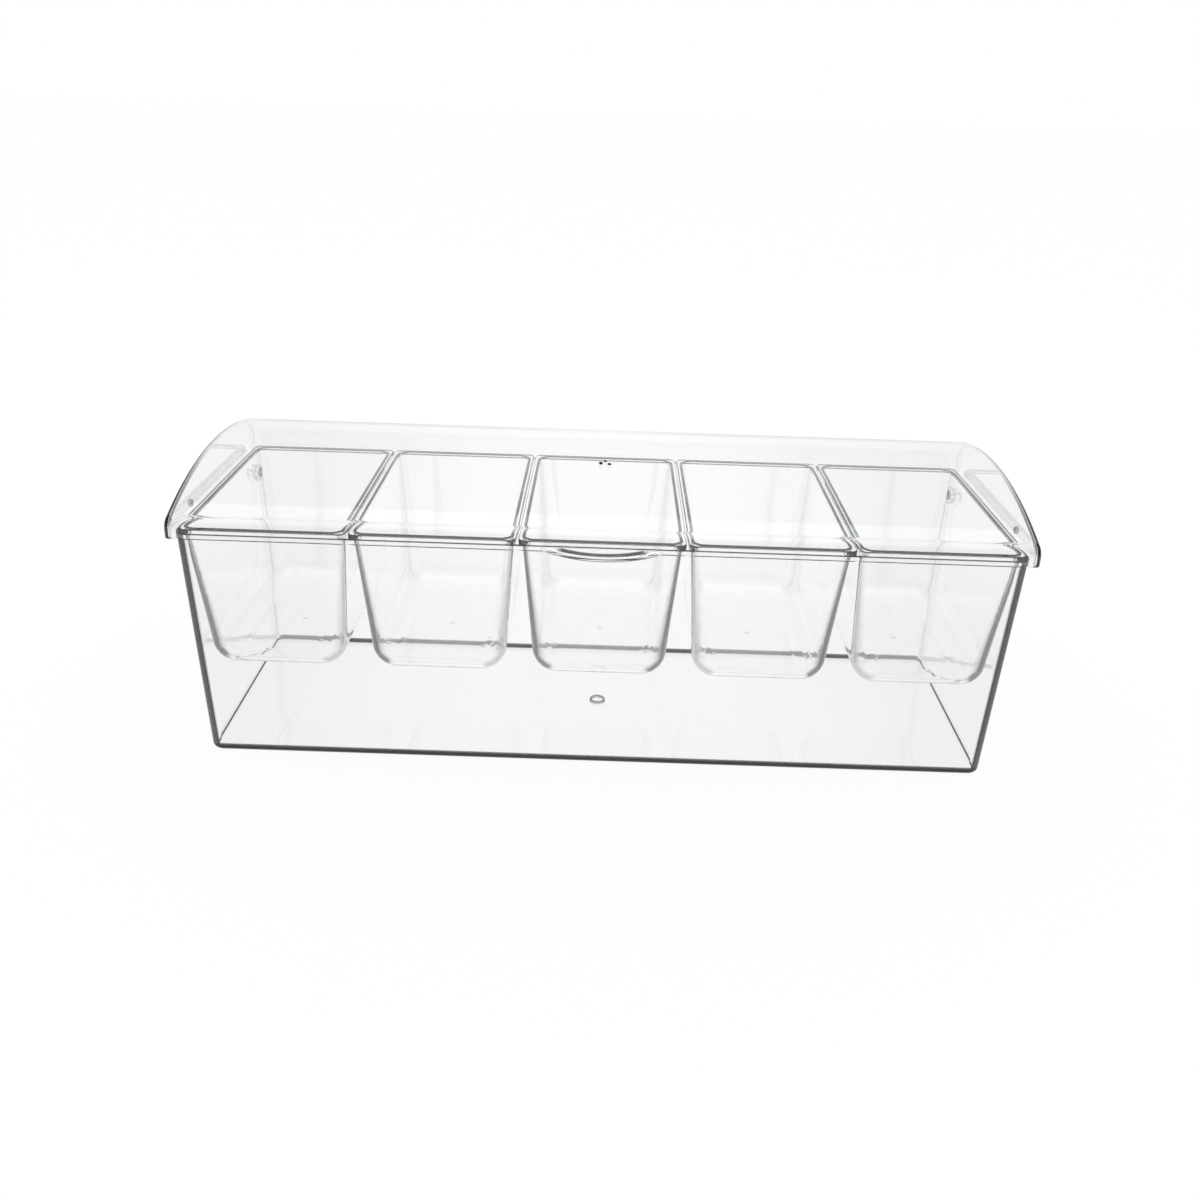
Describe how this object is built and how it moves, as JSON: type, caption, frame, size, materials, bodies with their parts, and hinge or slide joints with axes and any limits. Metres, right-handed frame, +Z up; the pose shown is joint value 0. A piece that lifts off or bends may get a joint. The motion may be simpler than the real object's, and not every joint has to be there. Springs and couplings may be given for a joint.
{
  "type": "chilled serving tray with hinged lid",
  "caption": "Clear rectangular ice tub with a row of lift-out tapered dishes and an arched hinged lid, for keeping food cold on a table.",
  "frame": {"origin": "centre of the tub's flat underside", "axes": "+X along the row of dishes, +Y towards the hinge at the back, +Z up"},
  "size_m": [0.3936, 0.1528, 0.1373],
  "materials": {
    "clear_tub": "clear polished moulding",
    "clear_dish": "clear polished moulding",
    "clear_lid": "clear polished moulding",
    "clear_pin": "clear polished moulding"
  },
  "bodies": {
    "tub": {"ice_tub": "clear_tub", "hinge_pin_left": "clear_pin", "hinge_pin_right": "clear_pin"},
    "lid": {"hinged_lid": "clear_lid"},
    "dish_1": {"dish_1": "clear_dish"},
    "dish_2": {"dish_2": "clear_dish"},
    "dish_3": {"dish_3": "clear_dish"},
    "dish_4": {"dish_4": "clear_dish"},
    "dish_5": {"dish_5": "clear_dish"}
  },
  "joints": [
    {"name": "lid_hinge", "type": "hinge", "parent": "tub", "child": "lid", "pos_m": [0, 0.0595, 0.102], "axis": [-1, 0, 0], "range_deg": [0, 100]},
    {"name": "dish_1_lift", "type": "slide", "parent": "tub", "child": "dish_1", "axis": [0, 0, 1], "range_m": [0, 0.002]},
    {"name": "dish_2_lift", "type": "slide", "parent": "tub", "child": "dish_2", "axis": [0, 0, 1], "range_m": [0, 0.002]},
    {"name": "dish_3_lift", "type": "slide", "parent": "tub", "child": "dish_3", "axis": [0, 0, 1], "range_m": [0, 0.002]},
    {"name": "dish_4_lift", "type": "slide", "parent": "tub", "child": "dish_4", "axis": [0, 0, 1], "range_m": [0, 0.002]},
    {"name": "dish_5_lift", "type": "slide", "parent": "tub", "child": "dish_5", "axis": [0, 0, 1], "range_m": [0, 0.002]}
  ]
}
